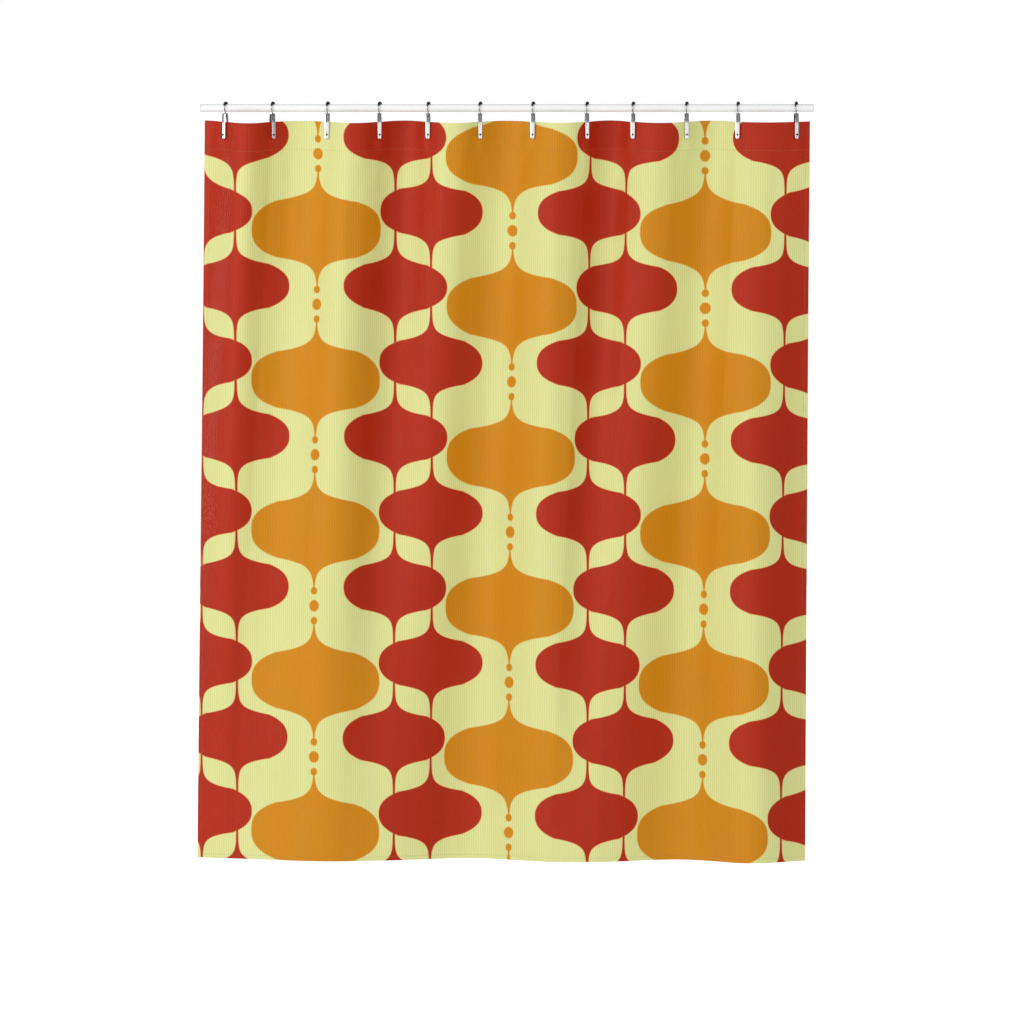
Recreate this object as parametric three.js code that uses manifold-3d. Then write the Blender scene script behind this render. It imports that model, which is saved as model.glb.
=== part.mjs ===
// Shower curtain hung on its rod: printed cloth panel with hems, twelve rod hooks, rod tube and end plugs.
// Millimetres, +Z up. The origin is on the axis of the rod, halfway along it. The front faces -Y.

import * as THREE from 'three';
import { mergeVertices } from 'three/addons/utils/BufferGeometryUtils.js';
import Module from 'manifold-3d';

const wasm = await Module();
wasm.setup();

// ---- Driving dimensions ----

const clearance = 0.4; // gap between pieces that touch
const throughCut = 10; // how far a cutter runs past what it cuts

// Rod
const rodDiameter = 19;
const rodWall = 1.2;
const rodOverrun = 9; // rod showing beyond each side of the curtain
const rodSides = 32;

// End plugs of the rod
const plugFlange = 2;
const plugSpigotLength = 24;

// Cloth
const clothWidth = 1803; // flat width before gathering
const clothLength = 1880;
const clothThickness = 1;
const topEdgeBelowRod = 26.5; // from the underside of the rod to the top edge of the cloth
const headerHemDepth = 72;
const sideHemWidth = 12;
const bottomHemDepth = 10;

// Hooks and the buttonholes they pass through
const hookCount = 12;
const holeMargin = 65; // flat distance from a side edge to the first buttonhole
const gatherRatio = 0.866; // hook spacing on the rod over buttonhole spacing in the cloth
const leftOverhang = 55; // cloth beyond the first hook
const rightOverhang = 36; // cloth beyond the last hook
const gapUnevenness = [-0.09, 0.06, 0, -0.06, 0, 0.02, 0.04, -0.11, 0.03, -0.01, 0.12];
const holeBelowTopEdge = 33;
const hangForward = 6; // the hooks carry the cloth this far in front of the rod axis
const steepestFold = 1.4; // rise over run that a fold could reach beside a hook

// Broad folds at the hem: [share of the hung width, how far forward]
const hemFolds = [[0, -58], [0.1, 2], [0.22, 44], [0.44, -52], [0.63, 40], [0.79, -12], [0.92, 58], [1, -34]];
const hemFoldShare = 0.8; // how far the top folds have turned into the broad ones at the hem
const sideDrift = 15; // the cloth hangs this far to the left at its hem
const columnsPerGap = 7;
const bodyRows = 4;

// Wire hook
const wireDiameter = 3;
const sleeveDiameter = 6.6;
const sleeveStart = -38; // degrees from straight up, towards the back
const sleeveEnd = 58;
const sleeveSteps = 4;
const wireTail = -102; // end of the wire behind the rod
const wireLeave = 118; // where the wire leaves its round bend in front of the rod
const wireYaw = -14; // degrees, the hook stands a little askew on the rod
const wireSides = 6;
const wireSteps = 15; // sections along the wire
const wireBendPoints = 9; // of them, points that guide its round bend
const stemLean = 0.4; // the wire is still this far forward where it straightens into its stem
const stemHeadDiameter = 7;
const stemHeadThickness = 1.5;

// Link: a flat strip folded into an upside-down U over the top of the cloth
const linkHeight = 66;
const linkDepth = 16;
const linkWidth = 10;
const stripThickness = 1.5;
const linkBelowRod = 4.5;
const linkCorner = 3;
const linkEndRound = 4;
const linkCornerSteps = 2;
const linkYaws = [-32, 32, -8, 8, -6, 6, -8, 8, -8, 6, -12, 14]; // degrees, how each link has turned

// Pin through the buttonhole
const pinDiameter = 3.6;
const pinHeadDiameter = 5.2;
const pinHeadThickness = 1;
const pinSides = 8;
const buttonholeWidth = 9;
const buttonholeHeight = 12;

// ---- Sizes that follow from the driving dimensions ----

const rodRadius = rodDiameter / 2;
const wireRadius = wireDiameter / 2;
const holePitch = (clothWidth - 2 * holeMargin) / (hookCount - 1);
const hookPitch = holePitch * gatherRatio;
const hookOffsets = cumulativeGaps();
const hungWidth = leftOverhang + hookOffsets[hookCount - 1] + rightOverhang;
const rodLength = hungWidth + 2 * rodOverrun;
const clothLeft = -hungWidth / 2;
const hookPlaces = hookOffsets.map((offset) => clothLeft + leftOverhang + offset);
const clothTop = -rodRadius - topEdgeBelowRod;
const pinHeight = clothTop - holeBelowTopEdge;
const clothPlane = -hangForward;
const wireBend = rodRadius + clearance + sleeveDiameter / 2;
const linkTop = -rodRadius - linkBelowRod;
const hemStack = 1.5 * clothThickness + 2 * clearance;
const linkRoom = linkDepth / 2 - stripThickness - hemStack;
const linkReach = 0.75 * linkWidth; // cloth this near a hook lies between the legs of its link
const linkEasing = THREE.MathUtils.clamp(1 - linkRoom / (steepestFold * linkReach), 0, 1);

function cumulativeGaps() {
  const offsets = [0];
  for (let i = 0; i < hookCount - 1; i += 1) {
    offsets.push(offsets[i] + hookPitch * (1 + gapUnevenness[i]));
  }
  return offsets;
}

// ---- Materials ----

const printedCloth = () => new THREE.MeshStandardMaterial({ color: 0xe3df9c, roughness: 0.75, metalness: 0 });
const whiteEnamel = () => new THREE.MeshStandardMaterial({ color: 0xf4f4f2, roughness: 0.35, metalness: 0 });
const whitePlastic = () => new THREE.MeshStandardMaterial({ color: 0xeeeeec, roughness: 0.5, metalness: 0 });
const chrome = () => new THREE.MeshStandardMaterial({ color: 0xd2d4d8, roughness: 0.12, metalness: 1 });
const darkRubber = () => new THREE.MeshStandardMaterial({ color: 0x26282c, roughness: 0.5, metalness: 0 });

// ---- Solids and booleans ----

function toSolid(geometry) {
  const bare = geometry.clone();
  bare.deleteAttribute('normal');
  bare.deleteAttribute('uv');
  const merged = mergeVertices(bare, 1e-4);
  const mesh = new wasm.Mesh({
    numProp: 3,
    vertProperties: new Float32Array(merged.attributes.position.array),
    triVerts: new Uint32Array(merged.index.array),
  });
  return new wasm.Manifold(mesh);
}

function toGeometry(solid) {
  const mesh = solid.getMesh();
  const geometry = new THREE.BufferGeometry();
  geometry.setAttribute('position', new THREE.BufferAttribute(new Float32Array(mesh.vertProperties), 3));
  geometry.setIndex(new THREE.BufferAttribute(new Uint32Array(mesh.triVerts), 1));
  geometry.computeVertexNormals();
  return geometry;
}

function boxAt(sizeX, sizeY, sizeZ, x, y, z) {
  return new THREE.BoxGeometry(sizeX, sizeY, sizeZ).translate(x, y, z);
}

const part = new THREE.Group();

function addMesh(name, geometry, material, parent = part) {
  const mesh = new THREE.Mesh(geometry, material);
  mesh.name = name;
  parent.add(mesh);
}

// ---- Rod ----

function lathe(profile, sides) {
  const points = profile.map(([radius, along]) => new THREE.Vector2(radius, along));
  return new THREE.LatheGeometry(points, sides);
}

function latheAlongX(profile, sides) {
  return lathe(profile, sides).rotateZ(-Math.PI / 2);
}

function addRod() {
  const halfTube = rodLength / 2 - plugFlange;
  const bore = rodRadius - rodWall;
  const tube = [
    [bore, -halfTube],
    [rodRadius, -halfTube],
    [rodRadius, halfTube],
    [bore, halfTube],
    [bore, -halfTube],
  ];
  addMesh('rod_tube', latheAlongX(tube, rodSides), whiteEnamel());

  const spigot = bore - clearance;
  const plug = [
    [0, -plugSpigotLength],
    [spigot, -plugSpigotLength],
    [spigot, clearance],
    [rodRadius, clearance],
    [rodRadius, plugFlange],
    [0, plugFlange],
  ];
  const rightPlug = latheAlongX(plug, rodSides).translate(halfTube, 0, 0);
  const leftPlug = rightPlug.clone().rotateZ(Math.PI);
  addMesh('rod_plug_right', rightPlug, whitePlastic());
  addMesh('rod_plug_left', leftPlug, whitePlastic());
}

// ---- Folds of the cloth ----

// Height of the bulge that takes up the spare cloth between two hooks.
function bulge(gap) {
  return (2 * gap / Math.PI) * Math.sqrt(Math.max(holePitch / gap - 1, 0));
}

// The cloth passes through the hooks and bulges forward and back by turns between them.
// Inside each link it lies flatter, so that cloth and hem clear both legs of the strip.
function topFold(x) {
  const last = hookCount - 1;
  let i = 0;
  while (i < last - 1 && x > hookPlaces[i + 1]) i += 1;
  const gap = hookPlaces[i + 1] - hookPlaces[i];
  const side = i % 2 === 0 ? 1 : -1;
  const fromHook = Math.min(...hookPlaces.map((place) => Math.abs(x - place)));
  const eased = 1 - linkEasing * Math.exp(-((fromHook / (2 * linkReach)) ** 2));
  return side * eased * bulge(gap) * Math.sin(Math.PI * (x - hookPlaces[i]) / gap);
}

const hemCurve = new THREE.CatmullRomCurve3(
  hemFolds.map(([share, forward]) => new THREE.Vector3(share, forward / hungWidth, 0)),
);
const hemSampleCount = 200;
const hemSamples = hemCurve.getSpacedPoints(hemSampleCount);

function hemFold(x) {
  const share = THREE.MathUtils.clamp((x - clothLeft) / hungWidth, 0, 1);
  let i = 1;
  while (i < hemSamples.length - 1 && hemSamples[i].x < share) i += 1;
  const from = hemSamples[i - 1];
  const to = hemSamples[i];
  const along = (share - from.x) / (to.x - from.x);
  return THREE.MathUtils.lerp(from.y, to.y, along) * hungWidth;
}

// Middle surface of the cloth: x as it hangs at the top, drop from the top edge.
function clothPoint(x, drop) {
  const share = drop / clothLength;
  const turn = share * hemFoldShare * Math.PI / 2;
  const forward = Math.cos(turn) * topFold(x) + Math.sin(turn) * hemFold(x);
  return new THREE.Vector3(x - sideDrift * share, clothPlane - forward, clothTop - drop);
}

// Closed sheet over a grid of columns and drops, set back by a distance, with a thickness.
function clothSheet(columns, drops, setBack) {
  const positions = [];
  const across = columns.length;
  const down = drops.length;
  for (const face of [0, clothThickness]) {
    for (const drop of drops) {
      for (const x of columns) {
        const point = clothPoint(x, drop);
        positions.push(point.x, point.y + setBack + face, point.z);
      }
    }
  }
  const indices = [];
  const back = across * down;
  const quad = (a, b, c, d) => indices.push(a, b, c, a, c, d);
  for (let j = 0; j < down - 1; j += 1) {
    for (let i = 0; i < across - 1; i += 1) {
      const a = j * across + i;
      quad(a, a + across, a + across + 1, a + 1);
      indices.push(back + a, back + a + across + 1, back + a + across);
      indices.push(back + a, back + a + 1, back + a + across + 1);
    }
  }
  for (let i = 0; i < across - 1; i += 1) {
    const low = (down - 1) * across + i;
    quad(i, i + 1, back + i + 1, back + i);
    quad(low + 1, low, back + low, back + low + 1);
  }
  for (let j = 0; j < down - 1; j += 1) {
    const left = j * across;
    const right = left + across - 1;
    quad(left + across, left, back + left, back + left + across);
    quad(right, right + across, back + right + across, back + right);
  }
  const geometry = new THREE.BufferGeometry();
  geometry.setAttribute('position', new THREE.Float32BufferAttribute(positions, 3));
  geometry.setIndex(indices);
  geometry.computeVertexNormals();
  return geometry;
}

function spread(from, to, count) {
  return Array.from({ length: count }, (_, i) => from + (to - from) * i / count);
}

// Columns of the grid: the hems' inner edges, the links' edges, and even steps between them.
function clothColumns() {
  const right = clothLeft + hungWidth;
  const linkEdges = hookPlaces.flatMap((x) => [x - linkReach, x + linkReach]);
  const stops = [clothLeft, clothLeft + sideHemWidth, ...linkEdges, right - sideHemWidth];
  const columns = [];
  stops.forEach((stop, i) => {
    const next = i + 1 < stops.length ? stops[i + 1] : right;
    const count = Math.max(1, Math.round(columnsPerGap * (next - stop) / hookPitch));
    columns.push(...spread(stop, next, count));
  });
  columns.push(right);
  return columns;
}

function cutButtonholes(geometry) {
  let solid = toSolid(geometry);
  const depth = 2 * clothThickness + 2 * throughCut + 2 * buttonholeWidth;
  for (const x of hookPlaces) {
    const place = clothPoint(x, holeBelowTopEdge);
    const cutter = boxAt(buttonholeWidth, depth, buttonholeHeight, place.x, place.y, place.z);
    solid = solid.subtract(toSolid(cutter));
  }
  return toGeometry(solid);
}

function addCloth() {
  const columns = clothColumns();
  const hemTop = clothLength - bottomHemDepth;
  const drops = [0, ...spread(headerHemDepth, hemTop, bodyRows), hemTop, clothLength];
  addMesh('curtain_panel', cutButtonholes(clothSheet(columns, drops, -clothThickness / 2)), printedCloth());

  // The hems lie against the back of the panel.
  const setBack = clothThickness / 2 + clearance;
  const headerDrops = drops.slice(0, 2);
  addMesh('header_hem', cutButtonholes(clothSheet(columns, headerDrops, setBack)), printedCloth());
  addMesh('bottom_hem', clothSheet(columns, drops.slice(-2), setBack), printedCloth());

  const sideDrops = drops.slice(1, -1);
  sideDrops[0] += clearance;
  sideDrops[sideDrops.length - 1] -= clearance;
  const leftColumns = columns.slice(0, 2);
  const rightColumns = columns.slice(-2);
  addMesh('left_side_hem', clothSheet(leftColumns, sideDrops, setBack), printedCloth());
  addMesh('right_side_hem', clothSheet(rightColumns, sideDrops, setBack), printedCloth());
}

// ---- Hooks ----

// Points of the wire round the rod, seen from the side; 0 degrees is straight up, positive is forward.
function bendPoint(degrees) {
  const angle = THREE.MathUtils.degToRad(degrees);
  return new THREE.Vector3(0, -wireBend * Math.sin(angle), wireBend * Math.cos(angle));
}

function bendPoints(from, to, steps) {
  return Array.from({ length: steps + 1 }, (_, i) => bendPoint(from + (to - from) * i / steps));
}

function sweep(shape, points, steps) {
  const path = new THREE.CatmullRomCurve3(points, false, 'centripetal');
  return new THREE.ExtrudeGeometry(shape, { steps, extrudePath: path, bevelEnabled: false });
}

function ringSection(outer, inner, sides) {
  const circle = (radius, turn) => Array.from({ length: sides }, (_, i) => {
    const angle = turn * 2 * Math.PI * i / sides;
    return new THREE.Vector2(radius * Math.cos(angle), radius * Math.sin(angle));
  });
  const shape = new THREE.Shape(circle(outer, 1));
  if (inner > 0) shape.holes.push(new THREE.Path(circle(inner, -1)));
  return shape;
}

function wireGeometry() {
  const stemFoot = linkTop - stripThickness - clearance;
  const stem = [
    new THREE.Vector3(0, clothPlane - stemLean, linkTop + wireRadius),
    new THREE.Vector3(0, clothPlane, linkTop),
    new THREE.Vector3(0, clothPlane, stemFoot - stemHeadThickness / 2),
  ];
  const points = [...bendPoints(wireTail, wireLeave, wireBendPoints), ...stem];
  const wire = toSolid(sweep(ringSection(wireRadius, 0, wireSides), points, wireSteps));
  const headRadius = stemHeadDiameter / 2;
  const head = new THREE.CylinderGeometry(headRadius, headRadius, stemHeadThickness, pinSides);
  head.rotateX(Math.PI / 2).translate(0, clothPlane, stemFoot - stemHeadThickness / 2);
  return toGeometry(wire.add(toSolid(head)));
}

function sleeveGeometry() {
  const section = ringSection(sleeveDiameter / 2, wireRadius + clearance, wireSides);
  return sweep(section, bendPoints(sleeveStart, sleeveEnd, sleeveSteps), sleeveSteps);
}

// Outline of the folded strip seen from the side, centred on the plane of the cloth.
function stripOutline() {
  const half = linkDepth / 2;
  const foot = linkTop - linkHeight;
  const inner = half - stripThickness;
  const innerCorner = linkCorner - stripThickness;
  const shape = new THREE.Shape();
  shape.moveTo(-half, foot);
  shape.lineTo(-inner, foot);
  shape.lineTo(-inner, linkTop - linkCorner);
  shape.absarc(-half + linkCorner, linkTop - linkCorner, innerCorner, Math.PI, Math.PI / 2, true);
  shape.absarc(half - linkCorner, linkTop - linkCorner, innerCorner, Math.PI / 2, 0, true);
  shape.lineTo(inner, foot);
  shape.lineTo(half, foot);
  shape.absarc(half - linkCorner, linkTop - linkCorner, linkCorner, 0, Math.PI / 2, false);
  shape.absarc(-half + linkCorner, linkTop - linkCorner, linkCorner, Math.PI / 2, Math.PI, false);
  shape.closePath();
  return shape;
}

// Front outline of the strip, with its rounded foot.
function stripFace() {
  const half = linkWidth / 2;
  const foot = linkTop - linkHeight;
  const shape = new THREE.Shape();
  shape.moveTo(half, linkTop + throughCut);
  shape.lineTo(-half, linkTop + throughCut);
  shape.absarc(-half + linkEndRound, foot + linkEndRound, linkEndRound, Math.PI, 1.5 * Math.PI, false);
  shape.absarc(half - linkEndRound, foot + linkEndRound, linkEndRound, 1.5 * Math.PI, 2 * Math.PI, false);
  shape.closePath();
  return shape;
}

// A shape drawn in a vertical plane, extruded across it and centred on the extrusion.
function slab(shape, depth) {
  const geometry = new THREE.ExtrudeGeometry(shape, {
    depth,
    curveSegments: linkCornerSteps,
    bevelEnabled: false,
  });
  return geometry.translate(0, 0, -depth / 2).rotateX(Math.PI / 2);
}

function holeCutter(diameter, length) {
  return new THREE.CylinderGeometry(diameter / 2, diameter / 2, length, pinSides);
}

// The link stands at the stem, with the cloth plane as its own middle plane.
function linkGeometry() {
  const folded = toSolid(slab(stripOutline(), linkWidth).rotateZ(Math.PI / 2));
  const face = toSolid(slab(stripFace(), linkDepth + 2 * throughCut));
  const pinHole = holeCutter(pinDiameter + 2 * clearance, linkDepth + 2 * throughCut);
  pinHole.translate(0, 0, pinHeight);
  const stemHole = holeCutter(wireDiameter + 2 * clearance, throughCut).rotateX(Math.PI / 2);
  stemHole.translate(0, 0, linkTop);
  const link = folded.intersect(face).subtract(toSolid(pinHole)).subtract(toSolid(stemHole));
  return toGeometry(link).translate(0, clothPlane, 0);
}

function pinGeometry() {
  const shank = pinDiameter / 2;
  const head = pinHeadDiameter / 2;
  const seat = linkDepth / 2 + clearance;
  const end = seat + pinHeadThickness;
  const half = [[shank, seat], [head, seat], [head, end], [0, end]];
  const otherHalf = half.map(([radius, along]) => [radius, -along]).reverse();
  return lathe([...otherHalf, ...half], pinSides).translate(0, clothPlane, pinHeight);
}

// A turn about the upright line through the stem.
function turnedGroup(x, degrees, y) {
  const group = new THREE.Group();
  group.position.set(x, y, 0);
  group.rotation.z = THREE.MathUtils.degToRad(degrees);
  const inner = new THREE.Group();
  inner.position.set(0, -y, 0);
  group.add(inner);
  part.add(group);
  return inner;
}

function addHooks() {
  const wire = wireGeometry();
  const sleeve = sleeveGeometry();
  const link = linkGeometry();
  const pin = pinGeometry();
  hookPlaces.forEach((x, i) => {
    const number = String(i + 1).padStart(2, '0');
    const upper = turnedGroup(x, wireYaw, clothPlane);
    addMesh(`hook_${number}_wire`, wire.clone(), chrome(), upper);
    addMesh(`hook_${number}_sleeve`, sleeve.clone(), darkRubber(), upper);
    const lower = turnedGroup(x, linkYaws[i], clothPlane);
    addMesh(`hook_${number}_link`, link.clone(), chrome(), lower);
    addMesh(`hook_${number}_pin`, pin.clone(), chrome(), lower);
  });
}

addRod();
addCloth();
addHooks();

export default part;
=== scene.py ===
"""Shower curtain on its rod: printed cloth with hems and stitching, rod hooks with their clips, and the rod.

Metres, +Z up. The origin is on the axis of the rod, halfway along it. The front faces -Y.
Flat cloth is measured across from its left edge and down from its top edge.
"""

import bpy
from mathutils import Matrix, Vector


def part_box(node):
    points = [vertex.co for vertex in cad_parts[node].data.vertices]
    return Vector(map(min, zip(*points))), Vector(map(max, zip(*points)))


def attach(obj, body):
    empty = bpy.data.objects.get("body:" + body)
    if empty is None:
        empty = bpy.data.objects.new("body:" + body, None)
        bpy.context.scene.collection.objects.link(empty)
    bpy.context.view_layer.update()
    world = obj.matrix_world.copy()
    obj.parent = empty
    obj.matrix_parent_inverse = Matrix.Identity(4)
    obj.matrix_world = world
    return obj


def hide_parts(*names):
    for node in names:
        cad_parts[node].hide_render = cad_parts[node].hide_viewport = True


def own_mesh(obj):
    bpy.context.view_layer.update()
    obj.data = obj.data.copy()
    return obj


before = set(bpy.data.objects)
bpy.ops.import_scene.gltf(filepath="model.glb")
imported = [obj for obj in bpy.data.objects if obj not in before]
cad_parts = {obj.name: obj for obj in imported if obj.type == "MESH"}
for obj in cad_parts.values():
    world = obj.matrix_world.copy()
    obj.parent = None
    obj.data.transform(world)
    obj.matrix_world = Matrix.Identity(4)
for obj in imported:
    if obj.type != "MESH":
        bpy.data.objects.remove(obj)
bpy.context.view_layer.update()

import math

import bmesh
import bpy
import numpy as np
from mathutils import Matrix, Vector

bl_info = {
    "name": "Shower curtain",
    "version": (1, 0, 0),
    "blender": (4, 5, 0),
    "location": "3D View > Sidebar > Curtain",
    "description": "Printed shower curtain hung on its rod by wire hooks",
    "category": "Object",
}

MM = 0.001

# ---- Places that come from the frame ----


def centre(node):
    low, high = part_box(node)
    return (low + high) / 2


HOOK_COUNT = sum(name.endswith("_pin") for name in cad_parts)
PINS = [centre(f"hook_{number:02d}_pin") for number in range(1, HOOK_COUNT + 1)]
HOOK_X = np.array([pin.x for pin in PINS])
CLOTH_PLANE = PINS[0].y
PIN_HEIGHT = PINS[0].z
PANEL_LOW, PANEL_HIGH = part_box("curtain_panel")
CLOTH_TOP = PANEL_HIGH.z
CLOTH_RIGHT = PANEL_HIGH.x
HEADER_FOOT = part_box("header_hem")[0].z
LINK_FOOT, LINK_TOP = (corner.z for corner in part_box("hook_03_link"))
TUBE_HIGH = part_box("rod_tube")[1]
ROD_RADIUS = TUBE_HIGH.z
PLUG_INNER_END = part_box("rod_plug_right")[0].x

# ---- How the cloth and the hooks hang ----

LINK_TURNS = (-32, 32, -8, 8, -6, 6, -8, 8, -8, 6, -12, 14)  # degrees that each clip is turned about its stem
WIRE_TURN = -14  # degrees that each wire is turned
HOLE_PITCH = 152.09 * MM  # between buttonholes, on the flat cloth
HEM_FOLDS = (
    (0, -58), (0.1, -2), (0.23, 42), (0.48, -50), (0.59, 36), (0.82, -34), (0.91, 46), (1, -34),
)  # share of the width, mm forward
HEM_FOLD_SHARE = 0.9  # how far the upper folds have turned into the hem's folds at the bottom
SIDE_DRIFT = 15 * MM  # how far the bottom hangs to the left
SIDE_SPREAD = 5 * MM  # how much further out each side hangs at the bottom
LINK_EASING = 0.6  # how much flatter the cloth is inside a clip
LINK_REACH = 7.5 * MM  # to each side of a clip
LINK_DEPTH = 16 * MM
LINK_CORNER = 3 * MM  # radius of the strip's two upper bends
CLIP_LEAN = 0.09  # the clip leans back this much for its height above the cloth
CLEARANCE = 0.4 * MM  # between parts that move on each other
# Turns that lay an upright ring's axis along Y and along X
QUARTER_TURN_X = (math.pi / 2, 0, 0)
QUARTER_TURN_Y = (0, math.pi / 2, 0)

# ---- Sizes and colours that a user would change ----


def length(name, description, default):
    return bpy.props.FloatProperty(name=name, description=description, default=default, unit="LENGTH", precision=4)


def colour(name, description, default):
    return bpy.props.FloatVectorProperty(
        name=name, description=description, default=default, subtype="COLOR", size=3, min=0, max=1
    )


class CurtainCloth(bpy.types.PropertyGroup):
    width: length("Flat width", "Width of the cloth before it is gathered", 1.803)
    drop: length("Length", "Length of the cloth", CLOTH_TOP - PANEL_LOW.z)
    thickness: length("Thickness", "Thickness of one layer of cloth", 0.5 * MM)
    header: length("Header hem", "Depth of the hem along the top", CLOTH_TOP - HEADER_FOOT)
    side: length("Side hem", "Width of the hem along each side", 12 * MM)
    foot: length("Bottom hem", "Depth of the hem along the bottom", 10 * MM)
    stitch: length("Stitch length", "Length of one stitch", 4 * MM)
    thread: length("Thread diameter", "Diameter of the sewing thread", 0.36 * MM)
    ground: colour("Ground", "Yellow-green between the printed shapes", (0.705, 0.715, 0.292))
    red: colour("Red", "Printed red", (0.430, 0.020, 0.002))
    orange: colour("Orange", "Printed orange", (0.615, 0.231, 0.002))
    # The thread is made dark partly as painted shade for the groove the stitching sinks into, partly as its own colour.
    thread_and_seam_shade: colour("Thread colour", "Colour of the sewing thread", (0.30, 0.13, 0.04))
    column_pitch: length("Column pitch", "Between two columns of orange lanterns, on the flat cloth", 578.4 * MM)
    repeat: length("Repeat", "Height after which the print repeats", 381.8 * MM)
    rib: length("Rib pitch", "Between two ribs woven into the cloth", 6.5 * MM)


class CurtainHooks(bpy.types.PropertyGroup):
    wire: length("Wire diameter", "Diameter of the wire that hangs on the rod", 3 * MM)
    sleeve: length("Sleeve diameter", "Outside diameter of the sleeve that runs on the rod", 6.6 * MM)
    strip: length("Strip thickness", "Thickness of the strip folded over the cloth", 1.5 * MM)
    strip_width: length("Strip width", "Width of the strip folded over the cloth", 10 * MM)
    pin: length("Pin diameter", "Diameter of the pin through the buttonhole", 3.6 * MM)
    chrome: colour("Chrome", "Colour of the plated metal", (0.80, 0.80, 0.82))
    sleeve_colour: colour("Sleeve colour", "Colour of the sleeve", (0.018, 0.019, 0.022))


class CurtainRod(bpy.types.PropertyGroup):
    diameter: length("Diameter", "Outside diameter of the rod", 2 * ROD_RADIUS)
    wall: length("Wall", "Thickness of the tube's wall", 1.2 * MM)
    enamel: colour("Enamel", "Colour of the painted tube", (0.88, 0.88, 0.88))
    plug: colour("Plug", "Colour of the end plugs", (0.78, 0.78, 0.77))


class CurtainStage(bpy.types.PropertyGroup):
    distance: length("Camera distance", "From the rod to the camera", 9.0)
    floor_drop: length("Floor", "From the rod down to the floor", 2.06)
    floor: colour("Floor colour", "Colour of the floor", (0.90, 0.90, 0.90))
    key: bpy.props.FloatProperty(
        name="Key light", description="Power of the soft light at the left", default=40, unit="POWER"
    )


# ---- Modelling helpers ----


def deselect():
    if bpy.context.mode != "OBJECT":
        bpy.ops.object.mode_set(mode="OBJECT")
    bpy.ops.object.select_all(action="DESELECT")


def use(piece):
    deselect()
    piece.select_set(True)
    bpy.context.view_layer.objects.active = piece


def begin(name):
    """Names the primitive just added, puts its place into its mesh and starts editing it, all selected."""
    piece = bpy.context.object
    piece.name = piece.data.name = name
    use(piece)
    bpy.ops.object.transform_apply(location=True, rotation=True, scale=True)
    bpy.ops.object.mode_set(mode="EDIT")
    bpy.ops.mesh.select_all(action="SELECT")
    return piece


def begin_ring(name, vertices, radius, place, turn, fill_type="NOTHING"):
    """Starts a piece that is drawn out of a ring."""
    deselect()
    bpy.ops.mesh.primitive_circle_add(
        vertices=vertices, radius=radius, fill_type=fill_type, location=place, rotation=turn
    )
    return begin(name)


def drill_bit(vertices, radius, depth, place, turn=(0, 0, 0)):
    deselect()
    bpy.ops.mesh.primitive_cylinder_add(
        vertices=vertices, radius=radius, depth=depth, location=place, rotation=turn
    )
    return bpy.context.object


def join(pieces):
    use(pieces[0])
    for piece in pieces:
        piece.select_set(True)
    bpy.ops.object.join()
    return bpy.context.object


def cut_away(piece, cutter):
    apply(piece, "BOOLEAN", object=cutter, operation="DIFFERENCE", solver="EXACT")
    bpy.data.objects.remove(cutter)


def pick(piece, test):
    """Selects the points whose place passes the test."""
    bpy.ops.mesh.select_mode(type="VERT")
    bpy.ops.mesh.select_all(action="DESELECT")
    mesh = bmesh.from_edit_mesh(piece.data)
    found = [vertex for vertex in mesh.verts if test(vertex.co)]
    if not found:
        raise RuntimeError(f"{piece.name}: nothing to shape was found")
    for vertex in found:
        vertex.select_set(True)
    mesh.select_flush_mode()
    bmesh.update_edit_mesh(piece.data)


def extrude(*shift):
    bpy.ops.mesh.extrude_region_move(TRANSFORM_OT_translate={"value": shift})


def resize(across, deep, high, about):
    bpy.ops.transform.resize(value=(across, deep, high), center_override=about)


def grow(ring, radius, place, way):
    """Extrudes the selected ring along a direction, by each step and then to its radius."""
    place, way = Vector(place), Vector(way)
    for step, wanted in ring:
        extrude(*(way * step))
        place = place + way * step
        ratio = wanted / radius
        resize(ratio, ratio, ratio, place)
        radius = wanted


def spin(degrees, steps, about):
    """Sweeps the selection round the X direction, counterclockwise as seen from +X."""
    bpy.ops.mesh.spin(steps=steps, angle=-math.radians(degrees), center=about, axis=(1, 0, 0))


def finish_shape(piece, merge=1e-6):
    """Closes seams and turns the faces outwards."""
    bpy.ops.mesh.select_mode(type="VERT")
    bpy.ops.mesh.select_all(action="SELECT")
    bpy.ops.mesh.remove_doubles(threshold=merge)
    bpy.ops.mesh.normals_make_consistent(inside=False)
    bpy.ops.object.mode_set(mode="OBJECT")
    use(piece)


def apply(piece, kind, **settings):
    use(piece)
    modifier = piece.modifiers.new(kind.title(), kind)
    for key, value in settings.items():
        setattr(modifier, key, value)
    bpy.ops.object.modifier_apply(modifier=modifier.name)


def round_edges(piece, width):
    apply(piece, "BEVEL", width=width, segments=3, limit_method="ANGLE", angle_limit=math.radians(50))


def smooth(piece, degrees):
    use(piece)
    bpy.ops.object.shade_smooth_by_angle(angle=math.radians(degrees))


def upright_turn(x, degrees):
    """A turn about the upright line through a hook's stem, for a shape modelled at x = 0."""
    back = Matrix.Translation((0, -CLOTH_PLANE, 0))
    turn = Matrix.Rotation(math.radians(degrees), 4, "Z")
    return Matrix.Translation((x, CLOTH_PLANE, 0)) @ turn @ back


def placed_copy(model, name, placing):
    piece = model.copy()
    piece.data = model.data.copy()
    piece.name = piece.data.name = name
    piece.data.transform(placing)
    bpy.context.scene.collection.objects.link(piece)
    return piece


def repeat_at_hooks(model, kind, turns, node, body):
    """Copies a model to every hook, each copy with its own mesh and turn, and clears the model away."""
    for number, (x, degrees) in enumerate(zip(HOOK_X, turns), start=1):
        piece = placed_copy(model, f"hook_{number:02d}_{kind}", upright_turn(x, degrees))
        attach(piece, body.format(number))
        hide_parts(node.format(number))
    bpy.data.objects.remove(model)


# ---- Shader helpers ----


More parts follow.
